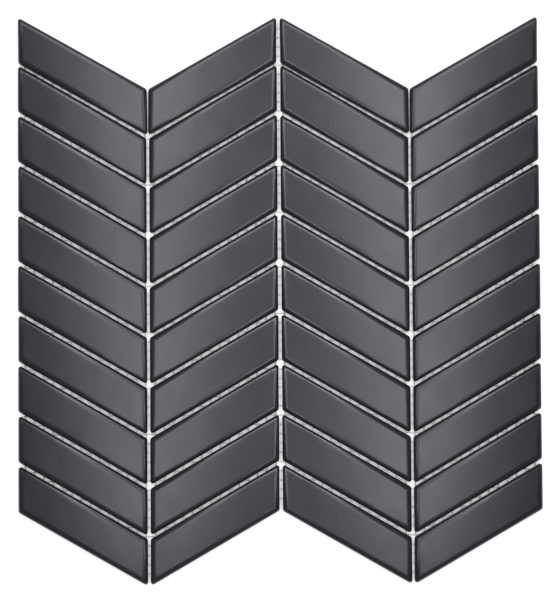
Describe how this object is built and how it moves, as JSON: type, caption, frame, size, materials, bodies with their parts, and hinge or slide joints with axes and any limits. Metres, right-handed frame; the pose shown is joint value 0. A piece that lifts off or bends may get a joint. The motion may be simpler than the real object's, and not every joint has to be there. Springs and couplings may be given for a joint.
{
  "type": "mosaic tile",
  "caption": "flat chevron mosaic tile sheet: rows of slanted matte black porcelain chips with cushioned edges, set with open joints on a white mesh backing",
  "frame": {"origin": "middle of the sheet on the underside of its mesh, which lies on the floor", "axes": "+X across the sheet to the right in the picture, +Y up the sheet along its columns, towards the picture's top, +Z out of the glazed face"},
  "size_m": [0.2821, 0.3056, 0.0065],
  "materials": {
    "chip_glaze": "matte",
    "mesh_thread": "matte"
  },
  "bodies": {
    "root": {"chip_c1_r01": "chip_glaze", "chip_c1_r02": "chip_glaze", "chip_c1_r03": "chip_glaze", "chip_c1_r04": "chip_glaze", "chip_c1_r05": "chip_glaze", "chip_c1_r06": "chip_glaze", "chip_c1_r07": "chip_glaze", "chip_c1_r08": "chip_glaze", "chip_c1_r09": "chip_glaze", "chip_c1_r10": "chip_glaze", "chip_c2_r01": "chip_glaze", "chip_c2_r02": "chip_glaze", "chip_c2_r03": "chip_glaze", "chip_c2_r04": "chip_glaze", "chip_c2_r05": "chip_glaze", "chip_c2_r06": "chip_glaze", "chip_c2_r07": "chip_glaze", "chip_c2_r08": "chip_glaze", "chip_c2_r09": "chip_glaze", "chip_c2_r10": "chip_glaze", "chip_c3_r01": "chip_glaze", "chip_c3_r02": "chip_glaze", "chip_c3_r03": "chip_glaze", "chip_c3_r04": "chip_glaze", "chip_c3_r05": "chip_glaze", "chip_c3_r06": "chip_glaze", "chip_c3_r07": "chip_glaze", "chip_c3_r08": "chip_glaze", "chip_c3_r09": "chip_glaze", "chip_c3_r10": "chip_glaze", "chip_c4_r01": "chip_glaze", "chip_c4_r02": "chip_glaze", "chip_c4_r03": "chip_glaze", "chip_c4_r04": "chip_glaze", "chip_c4_r05": "chip_glaze", "chip_c4_r06": "chip_glaze", "chip_c4_r07": "chip_glaze", "chip_c4_r08": "chip_glaze", "chip_c4_r09": "chip_glaze", "chip_c4_r10": "chip_glaze", "mesh_warp_threads": "mesh_thread", "mesh_weft_threads": "mesh_thread"}
  },
  "joints": []
}
